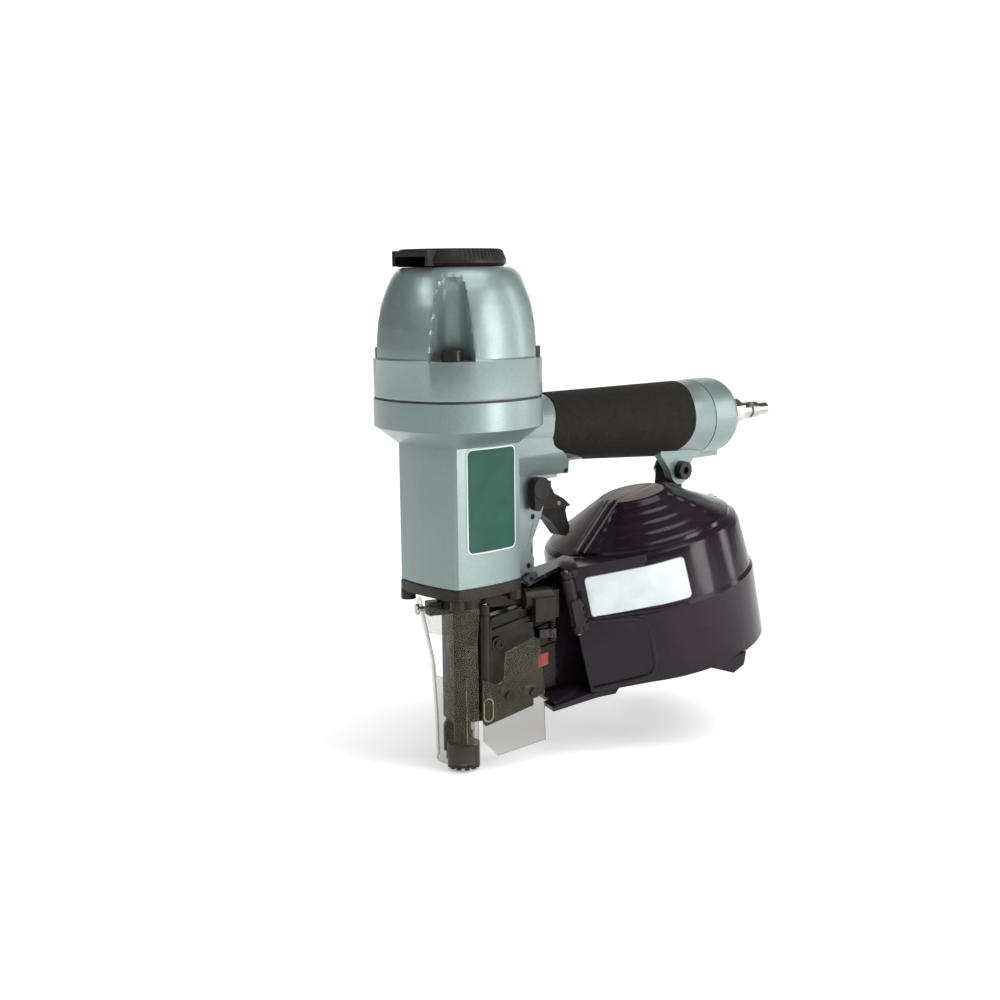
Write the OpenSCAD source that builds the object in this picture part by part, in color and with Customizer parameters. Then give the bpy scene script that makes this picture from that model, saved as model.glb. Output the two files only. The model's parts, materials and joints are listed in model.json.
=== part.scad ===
// Pneumatic coil nailer: a driver in a barrel, a grip handle with an air plug, and a drum magazine.
// Millimetres. Origin at the nail outlet, +Z up the drive axis, +X rearward along the handle.
// The near side, with the door and the magazine cover, is -Y.

/* [Barrel] */
// Height of the top of the head cap above the nail outlet
cap_top = 261; // [255:1:266]
// Height of the joint between the head cap and the barrel
joint_z = 196.5; // [194:0.5:199]
// Height of the barrel's lower face
barrel_z = 102; // [100:0.5:103]
// Half width of the lower barrel at mid-face
barrel_half = 24.6; // [24:0.1:25.5]
// Half width of the flanges at mid-face
flange_half = 40.2; // [39.8:0.1:40.6]
// Half width of the flange square measured at its corners
flange_corner = 30.9; // [30.7:0.1:31.2]

/* [Drive] */
// Inside radius of the cylinder
cylinder_r = 18; // [17.5:0.1:18.2]
// Travel of the piston and driver blade
drive_travel = 71; // [66:1:71]
// Radius of the driver channel in the nose
channel_r = 3.5; // [3.3:0.1:3.7]
// Travel of the push lever
push_travel = 12; // [10:0.5:12]
// Travel of the head valve
valve_lift = 4; // [3:0.5:5]

/* [Handle] */
// Height of the handle's axis
handle_z = 172; // [171:0.5:173]
// Distance of the end cap's rear face from the drive axis
handle_end = 206.5; // [205:0.5:208]
// Radius of the end cap
end_cap_r = 22.6; // [22:0.2:23]
// Radius of the grip sleeve's round flanks
sleeve_r = 19.6; // [19.2:0.1:19.8]
// Radius of the air plug's nose
plug_r = 3.8; // [3.6:0.1:4]

/* [Magazine] */
// Turn of the nail track from the handle's plane, in degrees
track_turn = 20; // [19:0.5:21]
// Rise of the nail track towards the magazine, in degrees
track_rise = 15; // [14:0.5:16]
// Tilt of the drum's axis, in degrees
drum_tilt = 12.5; // [12:0.5:13]
// Outside radius of the drum at its floor
drum_r = 57.8; // [57:0.2:58.4]
// Height of the drum from its floor to the top rim
drum_h = 71; // [70:0.5:72]
// Wall thickness of the drum
wall = 2.2; // [2:0.1:2.4]
// Travel of the nail tray
tray_travel = 27; // [20:1:27]

/* [Hidden] */
$fn = 64;
eps = 0.01;
run_gap = 0.05;
hull_fn = 32;

// Colours
casting = [0.55, 0.66, 0.60];
black = [0.07, 0.07, 0.06];
smoke = [0.20, 0.16, 0.20];
clear = [0.80, 0.80, 0.74];
steel = [0.70, 0.70, 0.72];
rubber = [0.12, 0.11, 0.09];

// Head and barrel
gasket_t = 0.8;
flange_low = joint_z - gasket_t - 14;
cap_base = joint_z;
cap_flange_top = cap_base + 19.5;
head_bolt_at = 25.9;
head_bolt_r = 2.5;
head_bolt_head = 5.3;
barrel_bore = 21.8;
chamber_r = 33;
ledge_z = 181;
shoulder_z = 172.5;
barrel_corner = 22.2;
base_bolt_at = 19.5;
base_bolt_r = 2.05;
valve_bore = 26;

// Nose
plate_top = barrel_z - gasket_t;
plate_low = plate_top - 5.2;
column_low = 26;
nozzle_low = 13.2;
nozzle_r = 5;
tip_bore = 5.1;
tip_r = 8.6;
tip_h = 12.9;
lever_t = 9.2;

// Handle
tube_r = 16.4;
grip_top = 194.4;
grip_low = 157.5;
grip_slope = 3.93;
sleeve_gap = 0.15;
seam_x = 181;
spigot_r = 17.5;
cap_round = 7;
boss_end = 217.5;
hex_end = 230;
plug_end = 258;

// Trigger group
knob_at = [42, 146];
plunger_x = 55;
web_half = 11;
root_half = 13;
slot_half = 7;
arm_pivot = [66, 134];
arm_pin_r = 1.25;
web_pin_r = 1.55;
web_pin_at = [[64, 153], [41.4, 130.1], [38.2, 104]];

// Hanger: one ear of the casting, with the magazine's arm bolted behind it
hanger_at = [162, 143];
hanger_r = 3;
ear_out = -11.5;
ear_in = -6.1;
arm_far = 1;

// Drum frame: floor at h = floor_h, axis through drum_at
drum_at = [128, -24, 60];
floor_h = -12.7;
ridge_h = 27;
rim_h = floor_h + drum_h;
ridge_r = drum_r + 1;
band_r = ridge_r - 1.3;
rim_r = drum_r - 2.3;
boss_r = 18.5;
boss_h = rim_h + 18.7;
part_y = -1.7;
latch_at = [-64.5, -37];
lug_low = [24, 4];
lug_high = [54.9, 3.4];
part_gap = 0.15;
tongue_top = floor_h - 0.4;
post_r = 4;
latch_pin_r = 1.25;
hinge_x = 62.9;
hinge_r = 3.7;
cover_front = -63;
strip_front = -85;
near_front = [cover_front, -33.1];
tangent_at = [-25.5, -51.2];

// Frames
module in_track() { rotate([0, 0, -track_turn]) children(); }
module in_drum() { translate(drum_at) rotate([0, 0, -track_turn]) rotate([0, -drum_tilt, 0]) children(); }
module along_x() { rotate([0, 90, 0]) children(); }
module along_y() { rotate([-90, 0, 0]) children(); }
module at_corners(a) { for (sx = [-1, 1], sy = [-1, 1]) translate([sx * a, sy * a, 0]) children(); }
// Extrudes an outline drawn in X and Z between two Y values
module side_plate(y0, y1) { translate([0, y1, 0]) rotate([90, 0, 0]) linear_extrude(y1 - y0) children(); }
// The same in the track's frame: s along the track, t across it towards the far side
module track_plate(t0, t1) { in_track() side_plate(t0, t1) children(); }
function up(s) = s * tan(track_rise);
// Outline between two heights that rise with the track
module band(s0, s1, z0, z1) {
    polygon([[s0, z0 + up(s0)], [s1, z0 + up(s1)], [s1, z1 + up(s1)], [s0, z1 + up(s0)]]);
}

// Square with bulged faces: half width m at mid-face and q at the corners, which are slightly blunt
module bulged(m, q, fn = 240) {
    off = (2 * q * q - m * m) / (2 * (m - q));
    intersection() {
        intersection_for (a = [0, 90, 180, 270]) rotate(a) translate([-off, 0]) circle(m + off, $fn = fn);
        circle(norm([q, q]) - 0.6, $fn = 120);
    }
}
module flange_shape() { bulged(flange_half, flange_corner); }
module barrel_shape() { bulged(barrel_half, barrel_corner); }
module ring(h, inner, outer) {
    difference() {
        cylinder(h = h, r = outer);
        translate([0, 0, -1]) cylinder(h = h + 2, r = inner);
    }
}
// A hole or pin across the tool at a point of the XZ plane
module across(at, r, y0 = -20, y1 = 20) {
    translate([at[0], y0, at[1]]) along_y() cylinder(h = y1 - y0, r = r);
}

module head_bolt(z) {
    translate([0, 0, z]) difference() {
        cylinder(h = 5.5, r = head_bolt_head);
        translate([0, 0, 2.5]) cylinder(h = 4, r = 2.3, $fn = 6);
    }
}

// --- Handle's outlines ---
// Oval of the grip: flat flanks, a level top and a bottom that rises towards the barrel; thinner by d
module grip_oval(x0, x1, d) {
    r = sleeve_r - d;
    intersection() {
        union() {
            translate([x0, 0, grip_top - d - r]) along_x() cylinder(h = x1 - x0, r = r);
            translate([x0, -r, grip_top - d - r - 60]) cube([x1 - x0, 2 * r, 60]);
        }
        translate([60, 0, grip_low + d]) rotate([0, grip_slope, 0]) union() {
            translate([-60, 0, r + 0.2]) along_x() cylinder(h = 190, r = r + 0.2);
            translate([-60, -r - 0.2, r + 0.2]) cube([190, 2 * r + 0.4, 60]);
        }
    }
}
// The sleeve's ends seen from the side
module grip_side() {
    polygon([
        [60, 210], [58.2, 195], [56.3, 190.5], [53.8, 185], [51.4, 180], [50.2, 176], [49.8, 171.5],
        [50.6, 168.4], [52.6, 166.4], [57, 164.4], [60, 162.4], [62.2, 160], [66.8, 157.9],
        [66.8, 156.6], [156.8, 150.6],
        [157.4, 153.4], [159.2, 156], [161.4, 159], [163, 163.2], [164.1, 167.5], [164.5, 172.5],
        [165, 179.5], [166.2, 185], [167.4, 189.5], [168.4, 195], [169, 210]
    ]);
}
module grip_space() {
    side_plate(-40, 40) for (dx = [-sleeve_gap, sleeve_gap]) translate([dx, 0]) grip_side();
}

// --- Casting: barrel, handle, trigger web and hanger ear ---
module web_outline() {
    polygon([
        [18, 160], [60, 160], [60, 149.5], [53, 149.5], [49.5, 147], [49.5, 134], [46, 126], [42, 119],
        [40, 112], [42.3, 108], [42.3, 103], [39.5, 100.5], [34, 100.5], [29, 104], [22, 108], [18, 120]
    ]);
}
// Root of the handle below the grip: flush with the grip above, narrower at the trigger
module handle_root() {
    hull() {
        side_plate(-root_half, root_half) polygon([[18, 153.4], [66.6, 151.2], [66.6, 153.4], [18, 155]]);
        side_plate(1.2 - sleeve_r, sleeve_r - 1.2) polygon([[18, 176], [62, 176], [62, 164], [18, 164]]);
    }
}
module ear_outline() {
    polygon([
        [144.5, 159], [144.5, 153], [149, 148.3], [152.4, 144], [hanger_at[0] - 7.9, hanger_at[1] - 2.5],
        [hanger_at[0] + 8.2, hanger_at[1] - 1], [171, 144.5], [172.4, 147.2], [174.6, 149.2],
        [180, 151], [180, 159]
    ]);
    translate(hanger_at) circle(8.3);
}
module main_body() {
    color(casting) difference() {
        union() {
            translate([0, 0, flange_low]) linear_extrude(joint_z - gasket_t - flange_low) flange_shape();
            hull() {
                translate([0, 0, flange_low - 0.1]) linear_extrude(0.1)
                    bulged(flange_half - 0.3, flange_corner - 0.3, 96);
                translate([0, 0, shoulder_z]) linear_extrude(0.1) bulged(barrel_half, barrel_corner, 96);
            }
            translate([0, 0, barrel_z]) linear_extrude(shoulder_z + 0.1 - barrel_z) barrel_shape();
            // Handle: root and flare round the grip's tube
            translate([15, 0, handle_z]) along_x() cylinder(h = 155, r = tube_r);
            difference() {
                union() {
                    grip_oval(15, 84, 0.4);
                    handle_root();
                    translate([0, 0, handle_z]) rotate([90, 0, 90]) rotate_extrude($fn = 96) polygon([
                        [0, 150], [20.8, 150], [21, 164], [21.3, 169], [21.7, 174],
                        [end_cap_r, seam_x], [0, seam_x]
                    ]);
                }
                grip_space();
            }
            side_plate(-web_half, web_half) web_outline();
            side_plate(ear_out, ear_in) ear_outline();
            translate([172.5, -5, 147.4]) cube([seam_x - 172.5, 10, 6]);
        }
        // Barrel bore, reservoir and air passages
        translate([0, 0, barrel_z - 1]) cylinder(h = 100, r = barrel_bore);
        translate([0, 0, ledge_z]) cylinder(h = 30, r = chamber_r);
        translate([20, 0, handle_z]) along_x() cylinder(h = 145, r = 12.5);
        translate([160, 0, handle_z]) along_x() cylinder(h = 30, r = 15);
        translate([172, 0, handle_z]) along_x() cylinder(h = 20, r = spigot_r);
        // Head bolt threads and base bolt threads
        at_corners(head_bolt_at) translate([0, 0, flange_low + 1]) cylinder(h = 20, r = head_bolt_r + 0.05);
        at_corners(base_bolt_at) translate([0, 0, barrel_z - 1]) cylinder(h = 12, r = base_bolt_r);
        // Slot for the trigger and the push lever between the web's cheeks
        side_plate(-slot_half, slot_half) polygon([
            [25.4, 90], [60, 90], [80, 140], [80, 148], [63, 151], [36.8, 151], [36.8, 138], [25.4, 138]
        ]);
        // Trigger valve bore up into the handle
        translate([plunger_x, 0, 140]) cylinder(h = 25, r = 6.55);
        // Knob shaft, pins and hanger bolt
        across(knob_at, 3.05);
        for (p = web_pin_at) across(p, web_pin_r);
        across(hanger_at, hanger_r + 0.05);
    }
}

module head_gasket() {
    color(black) translate([0, 0, joint_z - gasket_t]) linear_extrude(gasket_t) difference() {
        bulged(flange_half - 0.3, flange_corner - 0.3);
        circle(chamber_r);
        at_corners(head_bolt_at) circle(head_bolt_r + 0.2);
    }
}

// --- Head cap: flange, fluted dome, exhaust port ---
dome = [
    [0, cap_flange_top - 3], [39.7, cap_flange_top - 3], [39.9, 220], [39.5, 227], [38.9, 232],
    [38.1, 237], [37, 242], [35.7, 247], [34.3, 251.5], [32.8, 255.5], [31.4, 258.3], [29.8, 260.1],
    [28.2, 260.8], [26.6, cap_top], [0, cap_top]
];
flute_r = 7.4;
valve_roof = 245.5;
port_r = 17;
spider_z = 252;
module head_cap() {
    color(casting) {
        difference() {
            union() {
                translate([0, 0, cap_base]) linear_extrude(cap_flange_top - cap_base) flange_shape();
                rotate_extrude($fn = 120) polygon(dome);
            }
            at_corners(head_bolt_at) {
                translate([0, 0, cap_flange_top]) cylinder(h = 34, r = flute_r);
                translate([0, 0, cap_flange_top + 34]) sphere(flute_r);
                translate([0, 0, cap_base - 1]) cylinder(h = 40, r = head_bolt_r + 0.2);
            }
            // Head chamber, valve bore and exhaust port
            translate([0, 0, cap_base - 1]) cylinder(h = 15.5, r = chamber_r - 4);
            translate([0, 0, cap_base - 1]) cylinder(h = valve_roof - cap_base + 1, r = valve_bore);
            translate([0, 0, 244]) cylinder(h = 20, r = port_r);
        }
        // Spider that holds the deflector's screw
        difference() {
            union() {
                for (a = [0, 60, 120]) rotate(a) translate([-port_r - 0.5, -1.5, spider_z]) {
                    cube([2 * port_r + 1, 3, 5]);
                }
                translate([0, 0, spider_z]) cylinder(h = cap_top - spider_z, r = 5);
            }
            translate([0, 0, 250]) cylinder(h = 12, r = head_bolt_r);
        }
    }
}
module head_bolts() {
    color(black) at_corners(head_bolt_at) {
        head_bolt(cap_flange_top);
        translate([0, 0, flange_low + 2])
            cylinder(h = cap_flange_top - flange_low - 2 + eps, r = head_bolt_r);
    }
}

// --- Exhaust deflector: turns on its screw, open at the front ---
deflector_z = cap_top + 0.3;
deflector_h = 8.6;
deflector_r = 28;
module deflector() {
    color(black) difference() {
        union() {
            translate([-2.1, 2, deflector_z]) {
                cylinder(h = 1.6, r1 = deflector_r - 1.5, r2 = deflector_r);
                translate([0, 0, 1.6]) cylinder(h = 1.4, r = deflector_r);
                translate([0, 0, 3]) cylinder(h = deflector_h - 3, r1 = deflector_r, r2 = deflector_r - 2.6);
            }
            // Hood over the outlet
            translate([-29.3, -12.6, deflector_z + 0.2]) cube([29, 27.2, deflector_h - 1]);
        }
        difference() {
            translate([0, 0, deflector_z - 1]) cylinder(h = 6.4, r = 20);
            translate([0, 0, deflector_z - 2]) cylinder(h = 20, r = 4.9);
        }
        translate([-45, -10.6, deflector_z - 1]) cube([34, 23.2, 5.8]);
        translate([0, 0, deflector_z - 1]) cylinder(h = 20, r = head_bolt_r + run_gap);
        translate([0, 0, deflector_z + deflector_h - 2]) cylinder(h = 5, r = 5.2);
    }
}
module deflector_screw() {
    color(black) difference() {
        union() {
            translate([0, 0, 250.5]) cylinder(h = deflector_z + deflector_h - 250.5 - 1, r = head_bolt_r);
            translate([0, 0, deflector_z + deflector_h - 1.95]) cylinder(h = 1.5, r = 4.8);
        }
        translate([0, 0, deflector_z + deflector_h - 1.6]) cylinder(h = 3, r = 2, $fn = 6);
    }
}

// --- Driving parts ---
valve_z = 203;
module head_valve() {
    color(black) difference() {
        union() {
            translate([0, 0, valve_z]) cylinder(h = 8, r = valve_bore - run_gap);
            translate([0, 0, valve_z + 8]) cylinder(h = valve_roof - valve_z - 14.5 - valve_lift, r = 19);
        }
        translate([0, 0, valve_z - 1]) cylinder(h = 40, r = 16.5);
    }
}
module head_valve_spring() {
    color(steel) translate([0, 0, valve_z + 8]) ring(valve_roof - 0.1 - valve_z - 8, 21.5, 24.5);
}
module cylinder_sleeve() {
    color(steel) difference() {
        union() {
            translate([0, 0, 104]) cylinder(h = valve_z - 104, r = 20);
            translate([0, 0, ledge_z]) cylinder(h = 4, r = 26);
        }
        translate([0, 0, 100]) cylinder(h = 110, r = cylinder_r);
        for (a = [0:45:315], z = [118, 150]) rotate(a) translate([0, 0, z]) {
            along_x() cylinder(h = 30, r = 1.5, $fn = 24);
        }
    }
}

module cylinder_rings() {
    color(rubber) for (z = [136, 105]) translate([0, 0, z]) ring(3, 20, barrel_bore);
}
piston_z = 186;
piston_h = 12;
module piston() {
    color(steel) difference() {
        translate([0, 0, piston_z]) cylinder(h = piston_h, r = cylinder_r - run_gap);
        translate([0, 0, piston_z + 4]) ring(3, cylinder_r - 1.8, cylinder_r + 1);
        translate([0, 0, piston_z + 8]) cylinder(h = 10, r = 12);
        translate([0, 0, piston_z - 1]) cylinder(h = 10, r = channel_r - 0.1);
    }
}
module piston_ring() {
    color(rubber) translate([0, 0, piston_z + 4.05]) ring(2.9, cylinder_r - 1.8, cylinder_r - 0.02);
}
blade_low = nozzle_low - 1.2 + drive_travel;
module driver_blade() {
    color(steel) {
        translate([0, 0, blade_low]) cylinder(h = piston_z + 8 - blade_low, r = channel_r - 0.1);
        translate([0, 0, piston_z + 8]) cylinder(h = 3, r = 6);
    }
}
bumper_top = piston_z - drive_travel;
module bumper() {
    color(rubber) difference() {
        union() {
            translate([0, 0, plate_top]) cylinder(h = 2.6, r = barrel_bore);
            translate([0, 0, plate_top]) cylinder(h = bumper_top - plate_top - 0.2, r = cylinder_r - 0.3);
        }
        translate([0, 0, 90]) cylinder(h = 40, r = 5);
    }
}

// --- Nose ---
nail_low = 18;
nail_h = 65;
guide_t = 4.5;
door_pin = [8, -12.2];
door_low = 33;
door_top = 84;
knuckle_r = 2.8;
door_edge = 36.5;
screw_spots = [[20, 40], [34, 40]];
feed_front = 30.5;
door_pin_r = 1.5;
screw_r = 1.25;
module base_gasket() {
    color(black) translate([0, 0, plate_top]) linear_extrude(gasket_t) difference() {
        bulged(barrel_half - 0.2, barrel_corner - 0.2);
        circle(barrel_bore);
        at_corners(base_bolt_at) circle(base_bolt_r + 0.1);
    }
}
module nose_body() {
    color(black) difference() {
        union() {
            difference() {
                translate([0, 0, plate_low]) linear_extrude(plate_top - plate_low)
                    bulged(barrel_half + 0.3, barrel_corner + 0.3);
                at_corners(base_bolt_at) translate([0, 0, plate_low - 1])
                    cylinder(h = 20, r = base_bolt_r + 0.05);
            }
            translate([0, 0, 86]) cylinder(h = plate_low - 86 + eps, r = 13);
            in_track() translate([-8, -8.5, column_low]) cube([15, 17, plate_low - column_low + eps]);
            translate([0, 0, nozzle_low]) cylinder(h = column_low - nozzle_low + eps, r = nozzle_r);
            // Boss for the front shield, knuckles for the door's hinge, bar for the feed cylinder
            in_track() {
                translate([-19, -3.5, 84]) cube([12, 7, 7]);
                for (z = [door_top + 0.3, door_low - 5.3]) {
                    translate([door_pin[0], door_pin[1], z]) cylinder(h = 5, r = knuckle_r);
                    translate([1, door_pin[1], z]) cube([door_pin[0] - 1, 5, 5]);
                }
                translate([5, -7.3, 86.2]) cube([feed_front - 5, 2.4, 9.6]);
            }
        }
        cylinder(h = 120, r = channel_r);
        track_plate(-4.2, 4.2) band(0, 30, nail_low, nail_low + nail_h);
        in_track() translate([door_pin[0], door_pin[1], 0]) cylinder(h = 120, r = door_pin_r);
        in_track() translate([-30, 0, 87.5]) along_x() cylinder(h = 22, r = screw_r);
    }
}
module nose_bolts() {
    color(black) at_corners(base_bolt_at) {
        translate([0, 0, plate_low - 5]) difference() {
            cylinder(h = 5, r = 3.9);
            translate([0, 0, -1]) cylinder(h = 3.5, r = 2, $fn = 6);
        }
        translate([0, 0, plate_low - eps]) cylinder(h = 14, r = base_bolt_r);
    }
}
// Fixed far wall of the nail track, with rails for the shanks and two windows
module nail_guide() {
    color(black) track_plate(guide_t, guide_t + 2.4) difference() {
        band(7.6, 56, 21, 79);
        band(37, 42, 33, 41);
        band(46, 52, 34, 41);
    }
    color(black) for (z = [44, 50, 56]) track_plate(guide_t - 1.1, guide_t + 0.1) band(33, 56, z, z + 1.6);
}
module guide_insert() {
    color([0.75, 0.12, 0.08]) track_plate(guide_t + 0.4, guide_t + 2) band(46, 52, 34, 41);
}

// --- Push lever: contact tip, side arm and the upper arm between the web's cheeks ---
module contact_tip() {
    color(black) difference() {
        union() {
            cylinder(h = tip_h, r = tip_r);
            in_track() translate([-6.5, 5.3, 2]) cube([13, lever_t - 5.3, tip_h - 2.9]);
        }
        translate([0, 0, -1]) cylinder(h = 20, r = tip_bore);
        // Serrated rim
        for (a = [15:30:345]) rotate(a) translate([4.6, -0.9, -1]) cube([6, 1.8, 2.2]);
    }
}
rod_at = [29.3, 2.4];
rod_r = 1.8;
lever_x = 45.7;
lever_top = 141.6 - push_travel;
module push_lever() {
    color(black) {
        track_plate(lever_t, lever_t + 2.5) polygon([
            [-7, 6], [7, 6], [7, 20], [5, 24], [5, 60], [29, 62], [29, 74], [-5, 72], [-5, 24], [-7, 20]
        ]);
        in_track() translate([24.3, lever_t, 62]) cube([4.4, 4.2, 30]);
        translate([rod_at[0], rod_at[1], 91]) cylinder(h = 12, r = rod_r);
        translate([26.2, -1.5, 100]) cube([5.6, 6, 13]);
        translate([28, -2.5, 106.5]) cube([21.6, 5, 6.5]);
        translate([lever_x, -2.5, 106.5]) cube([4, 5, lever_top - 106.5]);
    }
}
module lever_spring() {
    color(steel) translate([33.6, 0.5, 113]) ring(25, 1.8, 2.6);
}
module depth_wheel() {
    color(black) translate([rod_at[0], rod_at[1], 92.8]) difference() {
        union() {
            cylinder(h = 6, r = 3.2);
            for (a = [22.5:45:337.5]) rotate(a) translate([3.2, 0, 1]) cylinder(h = 4, r = 0.5);
        }
        translate([0, 0, -1]) cylinder(h = 9, r = rod_r + run_gap);
    }
}

// --- Trigger valve and trigger ---
module valve_body() {
    color(steel) translate([plunger_x, 0, 151.2]) difference() {
        cylinder(h = 13, r = 6.5);
        translate([0, 0, -1]) cylinder(h = 20, r = 1.6);
        translate([0, 0, 4]) cylinder(h = 20, r = 4.5);
    }
}
module valve_plunger() {
    color(steel) translate([plunger_x, 0, 0]) {
        translate([0, 0, 147.5]) cylinder(h = 12, r = 1.6 - run_gap);
        translate([0, 0, 155.3]) cylinder(h = 2.5, r = 4.4);
    }
}
module plunger_spring() {
    color(steel) translate([plunger_x, 0, 157.9]) ring(5.5, 2.4, 3.6);
}
trigger_half = 6.4;
lobe_half = 4.2;
lobe_top = 131.5;
module trigger_side() {
    polygon([
        [37.5, 143], [40, 140.6], [46, 139.4], [51, 137], [54.5, 133], [54.2, 129.5], [58.8, 126.6],
        [63, 123.6], [67, 118.8], [70, 115.4], [73.6, 114.6], [76, 116.2], [76.6, 119.5],
        [74.6, 124], [73.3, 129], [74.6, 132.2], [70, 136], [62.6, 139.8], [60, 144],
        [60, 147], [50, 148.6], [46, 150.3], [40, 150.3], [37.5, 148]
    ]);
}
module trigger() {
    color(black) difference() {
        union() {
            intersection() {
                side_plate(-trigger_half, trigger_half) trigger_side();
                translate([0, -20, lobe_top]) cube([100, 40, 40]);
            }
            // The finger's lobe is narrower
            side_plate(-lobe_half, lobe_half) trigger_side();
        }
        // Pocket for the arm and the plunger
        side_plate(-3.2, 3.2) polygon([
            [43.6, 137], [44.4, 141.5], [45.6, 144], [47.5, 147], [47.5, 160], [62, 160], [62, 143],
            [71, 137], [71, 131], [60, 131], [56, 134.5], [50.4, 137.6], [50.4, 134]
        ]);
        across(knob_at, 3 + run_gap);
        across(arm_pivot, arm_pin_r);
    }
}
module trigger_arm() {
    color(steel) difference() {
        side_plate(-2.9, 2.9) union() {
            polygon([
                [48.2, 142.4], [53, 141.2], [64, 135], [67.5, 136], [62, 139.5], [56, 144.6], [48.2, 144.6]
            ]);
            translate(arm_pivot) circle(2.6);
        }
        across(arm_pivot, arm_pin_r + run_gap);
    }
}
module arm_pin() {
    color(steel) across(arm_pivot, arm_pin_r, -trigger_half, trigger_half);
}
module mode_knob() {
    color(black) {
        across(knob_at, 5.8, -root_half - 5, -root_half - 0.2);
        across(knob_at, 4, -root_half - 1, -web_half - 0.2);
        side_plate(-root_half - 4.4, -root_half - 0.2) hull() {
            translate(knob_at) circle(5.6, $fn = hull_fn);
            translate([knob_at[0] - 2, knob_at[1] - 9.5]) circle(2.6, $fn = hull_fn);
        }
    }
    color(steel) across(knob_at, 3, -root_half - 2, web_half - 0.5);
}
pin_half = [root_half, web_half, web_half];
module web_pins() {
    color(black) for (i = [0:2]) across(web_pin_at[i], web_pin_r, 0.6 - pin_half[i], pin_half[i] - 0.6);
}

// --- Handle: sleeve, end cap, plug, hanger ---
module grip_sleeve() {
    color(rubber) difference() {
        intersection() {
            grip_oval(40, 180, 0);
            side_plate(-30, 30) grip_side();
        }
        translate([40, 0, handle_z]) along_x() cylinder(h = 140, r = tube_r);
        side_plate(ear_out - 0.2, ear_in + 0.2) translate([144.3, 140]) square([40, 19.2]);
    }
}
module cap_gasket() {
    color(black) translate([seam_x, 0, handle_z]) along_x() ring(gasket_t, spigot_r + 0.1, end_cap_r - 0.3);
}
module end_cap() {
    edge = handle_end - cap_round;
    color(casting) difference() {
        union() {
            translate([0, 0, handle_z]) rotate([90, 0, 90]) rotate_extrude($fn = 96) {
                translate([0, seam_x + gasket_t]) square([end_cap_r, edge - seam_x - gasket_t]);
                translate([0, edge]) square([end_cap_r - cap_round, cap_round]);
                intersection() {
                    translate([end_cap_r - cap_round, edge]) circle(cap_round, $fn = 96);
                    translate([end_cap_r - cap_round, edge]) square(cap_round);
                }
                translate([0, edge]) square([10, boss_end - edge]);
            }
            translate([172.5, 0, handle_z]) along_x() cylinder(h = 12, r = spigot_r - 0.05);
            translate([seam_x + gasket_t, -5, 147.4]) cube([23, 10, 6]);
        }
        translate([160, 0, handle_z]) along_x() cylinder(h = 40, r = 14);
        translate([160, 0, handle_z]) along_x() cylinder(h = 70, r = plug_thread_r);
    }
}
plug_thread_r = 6.6;
module air_plug() {
    color(steel) difference() {
        translate([0, 0, handle_z]) {
            translate([202, 0, 0]) along_x() cylinder(h = boss_end - 202, r = plug_thread_r);
            translate([boss_end, 0, 0]) along_x() cylinder(h = hex_end - boss_end, r = 7.9, $fn = 6);
            translate([hex_end - eps, 0, 0]) along_x() cylinder(h = 8.5, r = 5.2);
            translate([hex_end + 8, 0, 0]) along_x() cylinder(h = 4, r = 4);
            translate([hex_end + 11, 0, 0]) along_x() cylinder(h = 6.4, r = 5.2);
            translate([hex_end + 17, 0, 0]) along_x() cylinder(h = plug_end - hex_end - 17, r = plug_r);
        }
        translate([200, 0, handle_z]) along_x() cylinder(h = 70, r = 2.2);
    }
}
module hanger_bolt() {
    color(black) difference() {
        union() {
            across(hanger_at, 5.4, ear_out - 4.5, ear_out);
            across(hanger_at, hanger_r, ear_out - 1, arm_far + 5);
        }
        across(hanger_at, 2.3, ear_out - 6, ear_out - 2, $fn = 6);
    }
}
module hanger_nut() {
    color(steel) translate([hanger_at[0], arm_far, hanger_at[1]]) along_y() difference() {
        cylinder(h = 3.6, r = 5.7, $fn = 6);
        translate([0, 0, -1]) cylinder(h = 6, r = hanger_r);
    }
}

// --- Drum ---
// Outside outline in plan, grown inwards by d; half is -1 for the cover and 1 for the magazine
module cover_wedge(d) {
    n = [sin(25.7), cos(25.7)];
    polygon([
        near_front + [d, 0] + d * n, tangent_at + d * n, [0, -35], [0, 0], [-30, 0],
        [cover_front + d, -12 - d]
    ]);
}
module strip_wedge(d) {
    polygon([
        [strip_front, -11 - d], [-30, -11 - d], [-20, -20], [-45, -33], [cover_front, -33.1 + d],
        [strip_front, -33.1 + d]
    ]);
}
// Solid of revolution of the drum, thinner by d
module drum_solid(d) {
    rotate_extrude($fn = 120) polygon([
        [0, floor_h + d], [drum_r - d, floor_h + d], [ridge_r - d, ridge_h - 1], [band_r - d, ridge_h + 1],
        [rim_r - d, rim_h - 5], [rim_r - 1.2 - d, rim_h - 2 - 0.6 * d],
        [rim_r - 4 - 0.9 * d, rim_h - 0.9 * d], [boss_r, boss_h - d], [0, boss_h - d]
    ]);
}
module shell(d) {
    drum_solid(d);
    translate([0, 0, floor_h + d]) linear_extrude(drum_h - 2 * d) {
        cover_wedge(d);
        strip_wedge(d);
    }
}
module drum_shell() {
    difference() {
        shell(0);
        shell(wall);
    }
}
module parting() { rotate(20) translate([-150, -300 + part_y - part_gap, -100]) cube([300, 300, 250]); }
module parting_far() { rotate(20) translate([-150, part_y + part_gap, -100]) cube([300, 300, 250]); }
module hinge_frame() { rotate(20) translate([hinge_x, part_y, 0]) children(); }
knuckle_h = [[-8, 8], [8.4, 37.6], [38, 54]];
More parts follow.
